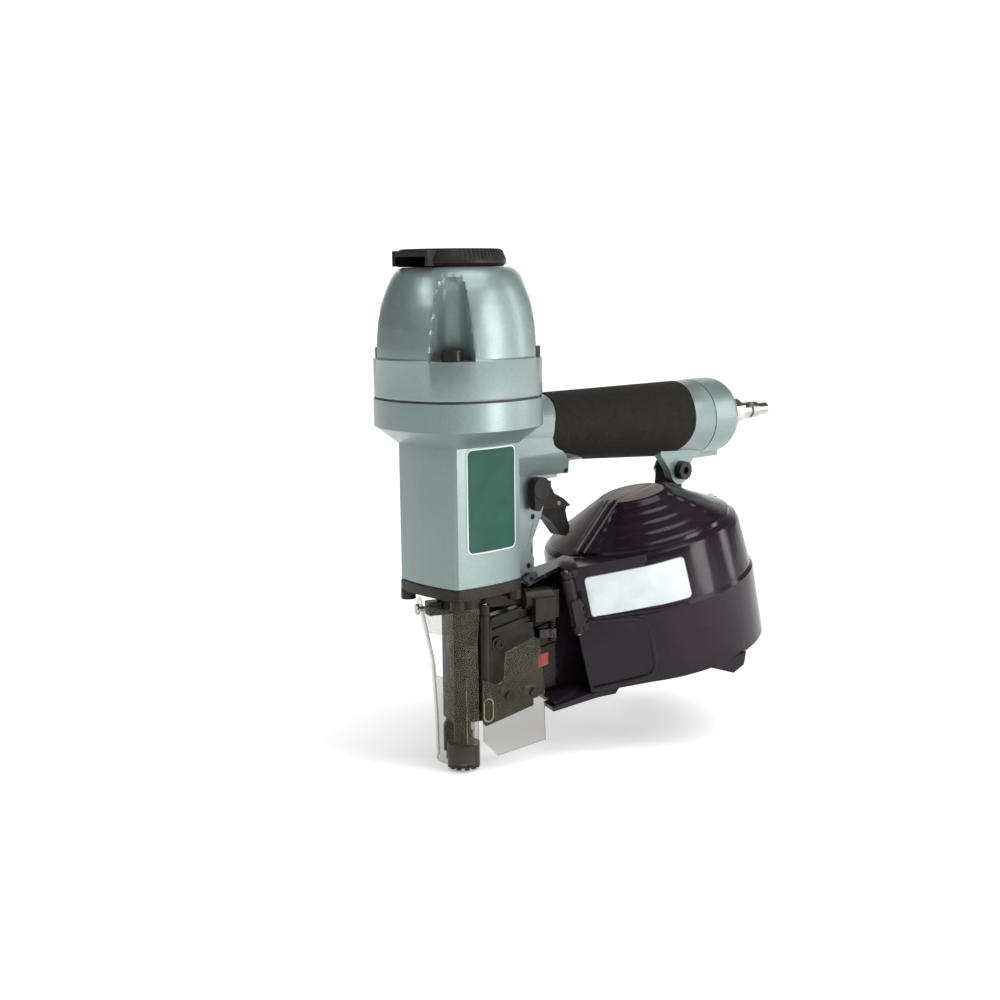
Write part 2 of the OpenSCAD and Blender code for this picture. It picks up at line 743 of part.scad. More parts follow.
module cover_knuckle(i) {
    side = i == 1 ? -1 : 1;
    low = knuckle_h[i][0];
    h = knuckle_h[i][1] - low;
    hinge_frame() difference() {
        union() {
            translate([0, 0, low]) cylinder(h = h, r = hinge_r);
            translate([-7, side < 0 ? -3.4 : part_gap, low]) cube([7, 3.4 - part_gap, h]);
        }
        translate([0, 0, -30]) cylinder(h = 120, r = i == 1 ? 2 + run_gap : 2);
    }
}
module magazine() {
    color(smoke) {
        in_drum() difference() {
            union() {
                intersection() {
                    drum_shell();
                    parting_far();
                }
                for (i = [0, 2]) cover_knuckle(i);
                // Tongue under the strip
                side_plate(-34, -22) polygon([
                    [strip_front - 2, -14.6], [-60, -16], [-49.5, -17.6], [-46.4, -14.6], [-47.5, tongue_top],
                    [cover_front - 1, tongue_top], [cover_front - 1, floor_h + 0.5],
                    [strip_front - 2, floor_h + 0.5]
                ]);
            }
            // Near side and front of the strip stay open
            translate([strip_front - 10, -60, floor_h + wall])
                cube([-strip_front + cover_front + 10.5, 46.7, drum_h - 2 * wall]);
            translate([strip_front - 1, -25, floor_h + wall]) cube([5, 11.8, drum_h - 2 * wall]);
            translate([0, 0, floor_h - 1]) cylinder(h = 4, r = post_r);
        }
        difference() {
            side_plate(ear_in + 0.1, arm_far) {
                translate(hanger_at) circle(7.4);
                polygon([
                    [hanger_at[0] - 7.4, hanger_at[1]], [153.4, 133], [152.6, 118], [168, 116],
                    [170.4, 128], [hanger_at[0] + 7.4, hanger_at[1]]
                ]);
            }
            across(hanger_at, hanger_r + 0.05);
            in_drum() drum_solid(wall);
        }
    }
}
module magazine_cover() {
    color(smoke) in_drum() difference() {
        union() {
            difference() {
                intersection() {
                    drum_shell();
                    parting();
                }
                // The strip in front of the cover belongs to the magazine
                translate([cover_front - 60, -80, -60]) cube([60, 100, 160]);
            }
            cover_knuckle(1);
            // Lugs for the latch
            for (h = [lug_low, lug_high]) translate([latch_at[0], latch_at[1], h[0]]) {
                cylinder(h = h[1], r = 3.2);
                translate([0, -1.5, 0]) cube([6, 5.5, h[1]]);
            }
            // Foot under the floor
            translate([9, -54.5, floor_h - 8]) rotate([90, 0, 8]) linear_extrude(2.5)
                polygon([[-12, 8.5], [2, 0], [10, 2], [13, 8.5]]);
        }
        translate([latch_at[0], latch_at[1], 0]) cylinder(h = 100, r = latch_pin_r);
        translate([0, 0, floor_h - 1]) cylinder(h = 4, r = post_r + 0.4);
    }
}
module cover_hinge_pin() {
    color(steel) in_drum() hinge_frame() translate([0, 0, -10]) cylinder(h = 66, r = 2);
}
module cover_latch() {
    color(black) in_drum() difference() {
        translate([latch_at[0], latch_at[1], 28.3]) {
            cylinder(h = lug_high[0] - 28.6, r = 3.1);
            translate([-2.5, -4.2, 0]) cube([6, 5.6, 14.5]);
            for (h = [2, 6, 10]) translate([3.4, -3.8, h]) cube([1.2, 4.4, 1.6]);
        }
        translate([latch_at[0], latch_at[1], 0]) cylinder(h = 100, r = latch_pin_r + run_gap);
    }
}
module latch_pin() {
    color(steel) in_drum() translate([latch_at[0], latch_at[1], 23]) cylinder(h = 36, r = latch_pin_r);
}
module tray_post() {
    color(steel) in_drum() translate([0, 0, floor_h]) difference() {
        union() {
            cylinder(h = tray_travel + 23, r = post_r);
            translate([0, 0, wall + 0.3]) cylinder(h = 1.8, r = 8);
        }
        translate([0, 0, 30]) cylinder(h = 40, r = 2);
    }
}
tray_h = -8;
module nail_tray() {
    color(smoke) in_drum() translate([0, 0, tray_h]) difference() {
        union() {
            cylinder(h = 2.4, r = 50);
            cylinder(h = 14, r = 8);
            for (a = [0:60:300]) rotate(a) translate([6, -1, 0]) cube([40, 2, 4]);
        }
        translate([0, 0, -30]) cylinder(h = 120, r = post_r + run_gap);
    }
}

// --- Door of the nail track ---
module guide_door() {
    color(black) difference() {
        union() {
            track_plate(-9.6, -4.5) polygon([
                [9.2, 23], [door_edge, 31], [door_edge, 76.5],
                [28.4, 76.5], [28.4, 85.2], [14, 82.5], [11, 82.5], [9.2, 80.5]
            ]);
            track_plate(-11.4, -9.5) {
                band(10, door_edge - 2.6, 69, 71.5);
                band(12, 29.5, 76, 78);
                translate([16.4, 67]) circle(4);
            }
            in_track() translate([door_pin[0], door_pin[1], door_low])
                cylinder(h = door_top - door_low, r = knuckle_r);
            in_track() translate([door_pin[0], -12, door_low]) cube([4, 5, door_top - door_low - 6]);
        }
        in_track() translate([door_pin[0], door_pin[1], 0]) cylinder(h = 120, r = door_pin_r + run_gap);
        for (p = screw_spots) in_track() across(p, screw_r, -13, -4);
    }
}
module door_hinge_pin() {
    color(steel) in_track() translate([door_pin[0], door_pin[1], door_low - 6])
        cylinder(h = door_top - door_low + 12, r = door_pin_r);
}
module side_shield() {
    color(clear) difference() {
        track_plate(-16.3, -15.2) polygon([
            [5.2, 17], [13, 8.5], [40.5, 13.5], [39.8, 43], [37, 68.5], [34.5, 69.6], [18, 63.5],
            [17, 49], [13, 46.5], [5.2, 50]
        ]);
        for (p = screw_spots) in_track() across(p, screw_r + 0.05, -20, -11);
    }
    color(black) for (p = screw_spots) in_track() translate([p[0], -15.2, p[1]])
        along_y() ring(5.6, screw_r, 3);
}
module door_screws() {
    color(steel) for (p = screw_spots) in_track() {
        across(p, 2.6, -17.5, -16.3);
        across(p, screw_r, -16.5, -8.5);
    }
}
module front_shield() {
    color(clear) {
        difference() {
            rotate(118) rotate_extrude(angle = 134, $fn = 120) polygon([
                [13.4, 5], [14.4, 5], [15, 30], [16.8, 58], [21.4, 79], [23.5, 90], [22.5, 90], [20.4, 79],
                [15.8, 58], [14, 30]
            ]);
            rotate(168) rotate_extrude(angle = 39, $fn = 60) translate([10, 52]) square([20, 24]);
            in_track() translate([-30, 0, 87.5]) along_x() cylinder(h = 22, r = screw_r + 0.05);
        }
        track_plate(-16.3, -15.2) polygon([[-4, 18], [2.4, 16], [2.4, 68], [-4, 70]]);
    }
}
module shield_screws() {
    color(steel) in_track() translate([-25.2, 0, 87.5]) along_x() {
        cylinder(h = 1.4, r = 2.8);
        cylinder(h = 13.7, r = screw_r);
    }
}

// --- Nail feeder: s 30.5 to 46 is the cylinder, the feeder hangs behind it ---
feed_at = [-10, 89.5];
feed_rear = 46;
feed_bore = 4.2;
feed_travel = 5;
rod_feed_r = 1.5;
pawl_pin = [48.4, -8.2];
pawl_low = 66.8;
pawl_h = 5;
module on_feed(s) { in_track() translate([s, feed_at[0], feed_at[1]]) along_x() children(); }
module feed_cylinder() {
    color(black) difference() {
        union() {
            on_feed(feed_front) cylinder(h = feed_rear - feed_front, r = 5.4);
            in_track() translate([34.5, -17.6, 78.3]) cube([feed_rear - 34.5, 12.6, 12.4]);
        }
        on_feed(feed_front + 1.5) cylinder(h = 30, r = feed_bore);
    }
}
module feed_cap() {
    color(black) on_feed(feed_rear - 2) ring(2, rod_feed_r + run_gap, feed_bore);
}
module feed_piston() {
    color(steel) {
        on_feed(feed_front + 1.8) cylinder(h = 2.5, r = feed_bore - run_gap);
        on_feed(feed_front + 4) cylinder(h = 16, r = rod_feed_r);
    }
}
module feed_spring() {
    color(steel) on_feed(feed_front + 4.4 + feed_travel) ring(4, 1.9, 3.4);
}
module feeder() {
    color(black) in_track() difference() {
        union() {
            translate([feed_rear + 0.6, -12.4, 78.3]) cube([3.8, 7.6, 15]);
            translate([pawl_pin[0], pawl_pin[1], 66.2]) cylinder(h = 12.5, r = 1.2);
            translate([pawl_pin[0], pawl_pin[1], 65]) cylinder(h = 1.5, r = 2.4);
        }
        translate([feed_rear, feed_at[0], feed_at[1]]) along_x() cylinder(h = 10, r = rod_feed_r);
    }
}
module feed_pawl() {
    color(black) in_track() difference() {
        union() {
            translate([pawl_pin[0], pawl_pin[1], pawl_low]) cylinder(h = pawl_h, r = 2.8);
            translate([0, 0, pawl_low + 0.2]) linear_extrude(pawl_h - 0.4)
                polygon([[49.2, -10], [40.4, -9.4], [39.6, -4], [41, -4], [42.8, -7], [49.2, -6.4]]);
        }
        translate([pawl_pin[0], pawl_pin[1], 60]) cylinder(h = 20, r = 1.2 + run_gap);
    }
}
module pawl_spring() {
    color(steel) in_track() translate([pawl_pin[0], pawl_pin[1], pawl_low + pawl_h + 0.2]) ring(6, 1.6, 2.6);
}
module body_label() {
    color([0.10, 0.28, 0.20]) intersection() {
        translate([0, 0, 119]) linear_extrude(53) difference() {
            bulged(barrel_half + 0.3, barrel_corner + 0.25);
            barrel_shape();
        }
        translate([-16, -40, 119]) cube([33, 30, 53]);
    }
}

main_body();
head_gasket();
head_cap();
head_bolts();
deflector();
deflector_screw();
head_valve();
head_valve_spring();
cylinder_sleeve();
cylinder_rings();
piston();
piston_ring();
driver_blade();
bumper();
base_gasket();
nose_body();
nose_bolts();
nail_guide();
guide_insert();
contact_tip();
push_lever();
lever_spring();
depth_wheel();
valve_body();
valve_plunger();
plunger_spring();
trigger();
trigger_arm();
arm_pin();
mode_knob();
web_pins();
grip_sleeve();
cap_gasket();
end_cap();
air_plug();
magazine();
hanger_bolt();
hanger_nut();
tray_post();
nail_tray();
magazine_cover();
cover_hinge_pin();
cover_latch();
latch_pin();
guide_door();
door_hinge_pin();
side_shield();
door_screws();
front_shield();
shield_screws();
feed_cylinder();
feed_cap();
feed_piston();
feed_spring();
feeder();
feed_pawl();
pawl_spring();
body_label();
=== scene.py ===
"""Looks of the coil nailer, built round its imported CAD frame.

The frame's origin is the nail outlet, z runs up the drive axis and x back along the handle.
Lengths are millimetres until grid() turns them into metres.
"""

import json
import math

import bmesh
import bpy
from mathutils import Matrix, Vector


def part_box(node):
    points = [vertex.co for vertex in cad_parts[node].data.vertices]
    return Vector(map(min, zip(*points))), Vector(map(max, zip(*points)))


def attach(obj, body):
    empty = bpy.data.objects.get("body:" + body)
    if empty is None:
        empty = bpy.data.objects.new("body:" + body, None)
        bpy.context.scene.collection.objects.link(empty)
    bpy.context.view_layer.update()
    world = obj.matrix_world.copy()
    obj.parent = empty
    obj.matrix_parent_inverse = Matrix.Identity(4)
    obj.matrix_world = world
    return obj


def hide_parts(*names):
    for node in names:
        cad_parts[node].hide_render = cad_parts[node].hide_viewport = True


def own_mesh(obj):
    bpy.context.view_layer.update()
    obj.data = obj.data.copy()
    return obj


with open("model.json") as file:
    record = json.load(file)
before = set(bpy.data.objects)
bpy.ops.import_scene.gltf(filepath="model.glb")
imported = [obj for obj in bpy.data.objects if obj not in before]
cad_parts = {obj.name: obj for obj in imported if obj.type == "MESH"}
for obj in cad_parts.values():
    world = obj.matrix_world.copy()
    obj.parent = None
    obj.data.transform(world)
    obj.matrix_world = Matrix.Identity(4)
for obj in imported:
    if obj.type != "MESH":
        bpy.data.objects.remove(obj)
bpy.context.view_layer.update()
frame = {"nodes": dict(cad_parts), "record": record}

MM = 0.001
NODES = frame["nodes"]
BODY_OF = {n: b for b, names in frame["record"]["behaviour"]["bodies"].items() for n in names}
# The nail track is turned in plan from the handle, and the drum leans back on it from the middle of its base
TRACK_TURN = -20
DRUM_TILT = -12.5
DRUM_BASE = (128, -24, 60)
TRACK = Matrix.Rotation(math.radians(TRACK_TURN), 4, "Z")
DRUM = Matrix.Translation(DRUM_BASE) @ TRACK @ Matrix.Rotation(math.radians(DRUM_TILT), 4, "Y")
ALONG_X = Matrix.Rotation(math.radians(90), 4, "Y")


# ---------------------------------------------------------------- materials
class Shader:
    """A Principled material with noise for its colour, roughness and bump."""

    def __init__(self, name, roughness=0.4, metallic=0.0, **sockets):
        self.mat = bpy.data.materials.new(name)
        self.mat.use_nodes = True
        self.tree = self.mat.node_tree
        self.bsdf = self.tree.nodes["Principled BSDF"]
        self.set(self.bsdf, Roughness=roughness, Metallic=metallic)
        for key, value in sockets.items():
            self.bsdf.inputs[key.replace("_", " ")].default_value = value
        self.place = self.tree.nodes.new("ShaderNodeTexCoord").outputs["Object"]
        self.height = None

    def set(self, node, **values):
        for key, value in values.items():
            node.inputs[key].default_value = value

    def link(self, a, b):
        self.tree.links.new(a, b)

    def node(self, kind, **values):
        n = self.tree.nodes.new("ShaderNode" + kind)
        self.set(n, **values)
        return n

    def noise(self, size, detail=3.0, stretch=(1, 1, 1)):
        """Noise whose features are about size mm, drawn out along an axis by stretch."""
        mapping = self.node("Mapping", Scale=tuple(1 / (size * MM * s) for s in stretch))
        self.link(self.place, mapping.inputs["Vector"])
        n = self.node("TexNoise", Scale=1.0, Detail=detail)
        self.link(mapping.outputs[0], n.inputs["Vector"])
        return n.outputs[0]

    def ramp(self, source, stops):
        n = self.node("ValToRGB")
        while len(n.color_ramp.elements) < len(stops):
            n.color_ramp.elements.new(0.5)
        for element, (at, colour) in zip(n.color_ramp.elements, stops):
            element.position = at
            element.color = (*colour, 1)
        self.link(source, n.inputs[0])
        return n.outputs[0]

    def colour(self, source, low, high, at=(0.35, 0.65)):
        self.link(self.ramp(source, [(at[0], low), (at[1], high)]), self.bsdf.inputs["Base Color"])
        return self

    def rough(self, source, low, high):
        n = self.node("MapRange")
        self.set(n, **{"From Min": 0.3, "From Max": 0.7, "To Min": low, "To Max": high})
        self.link(source, n.inputs["Value"])
        self.link(n.outputs[0], self.bsdf.inputs["Roughness"])
        return self

    def bump(self, source, depth, strength=1.0):
        """Bump of depth mm; several may follow one another."""
        n = self.node("Bump", Distance=depth * MM, Strength=strength)
        self.link(source, n.inputs["Height"])
        if self.height:
            self.link(self.height, n.inputs["Normal"])
        self.height = n.outputs[0]
        self.link(self.height, self.bsdf.inputs["Normal"])
        return self


def painted_casting():
    s = Shader("casting_paint", metallic=0.55, Coat_Weight=0.35, Coat_Roughness=0.18)
    s.colour(s.noise(0.25, 2), (0.165, 0.222, 0.212), (0.235, 0.30, 0.288))
    s.rough(s.noise(6), 0.36, 0.44)
    return s.bump(s.noise(0.5, 4), 0.03, 0.35).bump(s.noise(5, 2), 0.05, 0.25).mat


def black_metal():
    s = Shader("black_metal", Specular_IOR_Level=0.22)
    s.colour(s.noise(9), (0.010, 0.009, 0.0065), (0.019, 0.017, 0.012))
    s.rough(s.noise(4), 0.24, 0.36)
    return s.bump(s.noise(0.6, 4), 0.03, 0.4).mat


def black_plastic():
    s = Shader("black_plastic", Specular_IOR_Level=0.2)
    s.colour(s.noise(8), (0.011, 0.010, 0.008), (0.020, 0.018, 0.014))
    s.rough(s.noise(3), 0.36, 0.5)
    return s.bump(s.noise(0.35, 4), 0.04, 0.5).mat


def grip_rubber():
    s = Shader("grip_rubber", Specular_IOR_Level=0.1, Sheen_Weight=0.02, Sheen_Roughness=0.5)
    s.colour(s.noise(0.7, 5), (0.006, 0.0054, 0.0038), (0.016, 0.0145, 0.0105))
    s.rough(s.noise(5), 0.66, 0.8)
    return s.bump(s.noise(0.55, 5), 0.16, 0.8).mat


def seal_rubber():
    s = Shader("seal_rubber")
    s.colour(s.noise(3), (0.012, 0.012, 0.011), (0.024, 0.023, 0.021)).rough(s.noise(2), 0.5, 0.65)
    return s.bump(s.noise(0.8), 0.05, 0.4).mat


def metal(name, low, high, rough=(0.2, 0.34), stretch=(1, 1, 1), size=1.2):
    s = Shader(name, metallic=1.0)
    s.colour(s.noise(size, 4, stretch), low, high).rough(s.noise(2.5), *rough)
    return s.bump(s.noise(size * 0.5, 3, stretch), 0.02, 0.35).mat


def smoke_plastic():
    s = Shader("smoke_plastic", IOR=1.5, Alpha=0.97, Specular_IOR_Level=0.2)
    s.colour(s.noise(30, 2), (0.013, 0.0085, 0.0115), (0.021, 0.014, 0.019))
    s.rough(s.noise(14, 2), 0.12, 0.2)
    return s.bump(s.noise(9, 2), 0.05, 0.25).mat


def matt_smoke():
    s = Shader("smoke_plastic_matt", IOR=1.5, Alpha=0.95)
    s.colour(s.noise(20, 3), (0.055, 0.043, 0.041), (0.080, 0.064, 0.061)).rough(s.noise(6), 0.3, 0.42)
    return s.bump(s.noise(0.6, 4), 0.03, 0.4).mat


def clear_plastic():
    s = Shader("clear_plastic", IOR=1.45, Alpha=0.24, Specular_IOR_Level=0.3)
    s.colour(s.noise(25, 2), (0.065, 0.060, 0.036), (0.095, 0.088, 0.055)).rough(s.noise(8), 0.06, 0.14)
    return s.bump(s.noise(12, 2), 0.04, 0.3).mat


# Painted highlight: the clear sheets' cut edges are coloured bright, as if lit by light carried along inside
# the sheet, over the yellow tint the plastic shows through its thickness
def clear_edge_highlight():
    s = Shader("clear_plastic_edge_highlight", IOR=1.45, Alpha=0.6)
    s.colour(s.noise(6), (0.26, 0.23, 0.10), (0.42, 0.39, 0.22)).rough(s.noise(5), 0.15, 0.25)
    return s.bump(s.noise(1.5), 0.03, 0.3).mat


def red_plastic():
    s = Shader("red_plastic")
    s.colour(s.noise(6), (0.42, 0.03, 0.02), (0.6, 0.06, 0.03)).rough(s.noise(3), 0.25, 0.35)
    return s.bump(s.noise(2), 0.03, 0.3).mat


def printed(name, low, high):
    s = Shader(name, Specular_IOR_Level=0.2)
    s.colour(s.noise(12), low, high).rough(s.noise(5), 0.4, 0.5)
    return s.bump(s.noise(3, 2), 0.02, 0.3).mat


def floor_paper():
    s = Shader("floor_paper", Emission_Color=(1, 1, 1, 1), Emission_Strength=0.34)
    s.colour(s.noise(60), (0.92, 0.92, 0.92), (0.95, 0.95, 0.95)).rough(s.noise(20), 0.8, 0.9)
    return s.bump(s.noise(1.5), 0.02, 0.2).mat


CASTING = painted_casting()
BLACK = black_metal()
PLASTIC = black_plastic()
GRIP = grip_rubber()
SEAL = seal_rubber()
STEEL = metal("bare_steel", (0.30, 0.295, 0.28), (0.44, 0.43, 0.41))
DARK_STEEL = metal("dark_steel", (0.035, 0.033, 0.030), (0.060, 0.057, 0.052))
PLATED = metal("plated_steel", (0.36, 0.35, 0.32), (0.50, 0.48, 0.45), (0.12, 0.22))
ALUMINIUM = metal("bare_aluminium", (0.62, 0.63, 0.64), (0.78, 0.79, 0.80), (0.3, 0.4))
SMOKE = smoke_plastic()
SMOKE_MATT = matt_smoke()
CROWN = printed("crown_plastic", (0.17, 0.145, 0.13), (0.22, 0.19, 0.175))
CLEAR = clear_plastic()
EDGE_HIGHLIGHT = clear_edge_highlight()
RED = red_plastic()
GREEN = printed("label_green", (0.010, 0.062, 0.040), (0.014, 0.078, 0.052))
PALE = printed("label_pale", (0.60, 0.66, 0.66), (0.70, 0.75, 0.75))
GREY_INK = printed("label_line", (0.10, 0.12, 0.12), (0.15, 0.17, 0.17))
SLOT_LOOK = {
    "casting": CASTING, "black_metal": BLACK, "black_plastic": PLASTIC, "rubber_grip": GRIP,
    "rubber_seal": SEAL, "bare_steel": STEEL, "plated_steel": PLATED, "bare_aluminium": ALUMINIUM,
    "smoke_plastic": SMOKE, "clear_plastic": CLEAR, "red_plastic": RED, "label_green": GREEN,
}
SLOT_OF = {p["node"]: p["material_slot"] for p in frame["record"]["subparts"]}


# ---------------------------------------------------------------- mesh tools
def sharpen(bm, angle):
    """Smooth shading with hard edges where the surface turns by more than angle."""
    limit = math.radians(angle)
    for f in bm.faces:
        f.smooth = True
    for e in bm.edges:
        e.smooth = len(e.link_faces) == 2 and e.calc_face_angle(0) < limit


def show(name, bm, look, node, hides=()):
    """Makes the piece from a bmesh in metres; it rides with node's body and stands for the nodes it hides."""
    mesh = bpy.data.meshes.new(name)
    bm.to_mesh(mesh)
    bm.free()
    piece = bpy.data.objects.new(name, mesh)
    bpy.context.scene.collection.objects.link(piece)
    mesh.materials.append(look)
    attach(piece, BODY_OF[node])
    if hides:
        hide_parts(*hides)
    return piece


def apply_modifiers(piece):
    bpy.context.view_layer.update()
    evaluated = piece.evaluated_get(bpy.context.evaluated_depsgraph_get())
    mesh = bpy.data.meshes.new_from_object(evaluated)
    piece.modifiers.clear()
    piece.data = mesh
    return piece


def copied(node):
    """The CAD node's mesh with its flat faces whole again."""
    bm = bmesh.new()
    bm.from_mesh(NODES[node].data)
    bmesh.ops.remove_doubles(bm, verts=bm.verts, dist=2e-6)
    bmesh.ops.dissolve_limit(bm, angle_limit=math.radians(0.6), verts=bm.verts, edges=bm.edges)
    return bm


def finish_edges(piece, width, segments=2, angle=28):
    """Rounds the edges by width mm and keeps the flat faces flat in the shading."""
    bm = bmesh.new()
    bm.from_mesh(piece.data)
    sharpen(bm, 50)
    bm.to_mesh(piece.data)
    bm.free()
    bevel = piece.modifiers.new("edges", "BEVEL")
    bevel.width = width * MM
    bevel.segments = segments
    bevel.limit_method = "ANGLE"
    bevel.angle_limit = math.radians(angle)
    bevel.miter_outer = "MITER_ARC"
    normals = piece.modifiers.new("normals", "WEIGHTED_NORMAL")
    normals.mode = "FACE_AREA"
    normals.weight = 90
    return apply_modifiers(piece)


def dress(node, look, width):
    """The CAD node with its edges rounded by width mm."""
    return finish_edges(show(node + "_finished", copied(node), look, node, hides=[node]), width)


def grid(rows, closed_rows=False, closed_columns=True):
    """A skin of quads through rows of points in mm."""
    bm = bmesh.new()
    verts = [[bm.verts.new(Vector(p) * MM) for p in row] for row in rows]
    count, width = len(rows), len(rows[0])
    for i in range(count if closed_rows else count - 1):
        for j in range(width if closed_columns else width - 1):
            a, b = verts[i], verts[(i + 1) % count]
            k = (j + 1) % width
            bm.faces.new((a[j], a[k], b[k], b[j]))
    if not closed_rows and closed_columns:
        bm.faces.new(list(reversed(verts[0])))
        bm.faces.new(verts[-1])
    bmesh.ops.recalc_face_normals(bm, faces=bm.faces)
    return bm


def slab(place, columns, bounds, thickness, lip=0.0):
    """A closed sheet on place(x, z, out); bounds(x) gives its lowest and highest z."""
    rows = []
    for x in columns:
        low, high = bounds(x)
        steps = [low + (high - low) * i / 12 for i in range(13)]
        front = [place(x, z, thickness - (lip if i in (0, 12) else 0)) for i, z in enumerate(steps)]
        back = [place(x, z, -0.2) for z in reversed(steps)]
        rows.append(front + back)
    return grid(rows)


def label(name, place, x, z, radius, out, look, node, slot, hides=()):
    """A blank plate with rounded corners on a curved wall."""
    def bounds(at):
        edge = min(at - x[0], x[1] - at)
        cut = 0 if edge >= radius else radius - math.sqrt(max(0, radius**2 - (radius - edge) ** 2))
        return z[0] + cut, z[1] - cut

    ends = [radius * (1 - math.cos(math.radians(a))) for a in range(0, 91, 15)]
    middle = [radius + (x[1] - x[0] - 2 * radius) * i / 20 for i in range(1, 20)]
    columns = [x[0] + e for e in ends] + [x[0] + m for m in middle] + [x[1] - e for e in reversed(ends)]
    bm = slab(place, columns, bounds, out)
    sharpen(bm, 40)
    return show(name, bm, look, node, hides=hides)


def tube(points, radius, sides=10, closed=False):
    """A round bar of radius mm through points; its ends are domed a little."""
    points = [Vector(p) for p in points]
    rows = []
    side = None
    last = len(points) - 1
    for i, p in enumerate(points):
        ahead = points[(i + 1) % len(points)] if closed or i < last else p
        behind = points[i - 1] if closed or i > 0 else p
        along = (ahead - behind).normalized()
        if side is None:
            side = along.orthogonal().normalized()
        side = (side - along * side.dot(along)).normalized()
        up = along.cross(side)
        r = radius if closed or 0 < i < last else radius * 0.75
        rows.append([
            p + r * (math.cos(a) * side + math.sin(a) * up)
            for a in (2 * math.pi * k / sides for k in range(sides))
        ])
    bm = grid(rows, closed_rows=closed)
    sharpen(bm, 60)
    return bm


# A rounded rib's section, in widths across and heights up
RIB_SECTION = [
    (-0.5, -0.4), (-0.5, 0.45), (-0.42, 0.8), (-0.25, 1),
    (0.25, 1), (0.42, 0.8), (0.5, 0.45), (0.5, -0.4),
]


def rail(points, outs, width, height):
    """A raised rib with a rounded section through points; outs are the directions it stands up in."""
    rows = []
    last = len(points) - 1
    for i, (p, out) in enumerate(zip(points, outs)):
        p, out = Vector(p), Vector(out).normalized()
        along = (Vector(points[min(i + 1, last)]) - Vector(points[max(i - 1, 0)])).normalized()
        side = along.cross(out).normalized()
        rows.append([p + side * width * a + out * height * b for a, b in RIB_SECTION])
    bm = grid(rows)
    sharpen(bm, 45)
    return bm


def socket_screw(name, matrix, radius, height, look, node):
    """A screw head with a chamfer and a hexagonal socket."""
    sides = 48
    head = [(0.96, -0.3), (1, 0), (1, height * 0.75), (0.86, height)]
    socket = [(0.55, height), (0.5, height * 0.92), (0.48, height * 0.35), (0.1, height * 0.3)]
    rows = []
    for k, (share, h) in enumerate(head + socket):
        ring = []
        for a in (2 * math.pi * i / sides for i in range(sides)):
            r = radius * share
            if k >= len(head):
                r = r / math.cos((a % (math.pi / 3)) - math.pi / 6) * 0.93
            ring.append(matrix @ Vector((r * math.cos(a), r * math.sin(a), h)))
        rows.append(ring)
    bm = grid(rows)
    sharpen(bm, 35)
    return show(name, bm, look, node)


# Visible CAD nodes kept in shape, with the width in mm of their rounded edges
OUTSIDE = {
    "main_body": 0.8, "head_cap": 0.6, "head_bolts": 0.3, "deflector": 0.5, "deflector_screw": 0.2,
    "nose_body": 0.4, "nose_bolts": 0.25, "nail_guide": 0.3, "contact_tip": 0.3, "push_lever": 0.3,
    "depth_wheel": 0.2, "trigger": 0.9, "trigger_arm": 0.3, "mode_knob": 0.5, "grip_sleeve": 0.8,
    "end_cap": 0.5, "air_plug": 0.3, "magazine": 0.5, "hanger_bolt": 0.3, "hanger_nut": 0.3,
    "magazine_cover": 0.5, "cover_latch": 0.4, "guide_door": 0.4, "side_shield": 0.2,
    "door_screws": 0.2, "front_shield": 0.2, "shield_screws": 0.2, "feed_cylinder": 0.4,
    "feed_cap": 0.1, "feeder": 0.4, "feed_pawl": 0.2, "body_label": 0.05,
}


# ---------------------------------------------------------------- stage
BACKDROP = 1.15
ROOM = 0.13
# The backdrop's middle, and the cosines of the angles from it between which it fades into the room
BACKDROP_TOWARDS = (0.68, 0.733, 0)
BACKDROP_FADE = (0.74, 0.88)
SUN = 2.1
SUN_ALONG = (-0.05, 0.42, -0.9)
SUN_WIDTH = 50
FLOOR_HALF = 15
FLOOR_AT = (0, 0, -0.0015)
CAMERA_AT = (-464.54, -532.92, 255.27)
CAMERA_AIM = {"azimuth": -42.83, "elevation": 9.07, "roll": -0.62}


def aim(obj, azimuth, elevation, roll):
    """Turns obj to look along the azimuth from +y and down by the elevation, both in degrees."""
    a, e, r = (math.radians(x) for x in (azimuth, elevation, roll))
    back = Vector((math.sin(a) * math.cos(e), -math.cos(a) * math.cos(e), math.sin(e)))
    right = (-back).cross(Vector((0, 0, 1))).normalized()
    up = right.cross(-back)
    x = math.cos(r) * right + math.sin(r) * up
    y = -math.sin(r) * right + math.cos(r) * up
    obj.matrix_world = Matrix.Translation(obj.location) @ Matrix((x, y, back)).transposed().to_4x4()


def camera():
    data = bpy.data.cameras.new("camera")
    data.lens = 50
    data.sensor_width = 36
    data.shift_x = -0.0018
    data.clip_start = 0.01
    data.clip_end = 60
    cam = bpy.data.objects.new("camera", data)
    bpy.context.scene.collection.objects.link(cam)
    cam.location = Vector(CAMERA_AT) * MM
    aim(cam, **CAMERA_AIM)
    bpy.context.scene.camera = cam


def softbox(name, at, target, size, power):
    """An area light, with its places and size in metres."""
    data = bpy.data.lights.new(name, "AREA")
    data.shape = "RECTANGLE"
    data.size, data.size_y = size
    data.energy = power
    lamp = bpy.data.objects.new(name, data)
    bpy.context.scene.collection.objects.link(lamp)
    lamp.location = Vector(at)
    lamp.rotation_mode = "QUATERNION"
    lamp.rotation_quaternion = (Vector(target) - Vector(at)).to_track_quat("-Z", "Y")


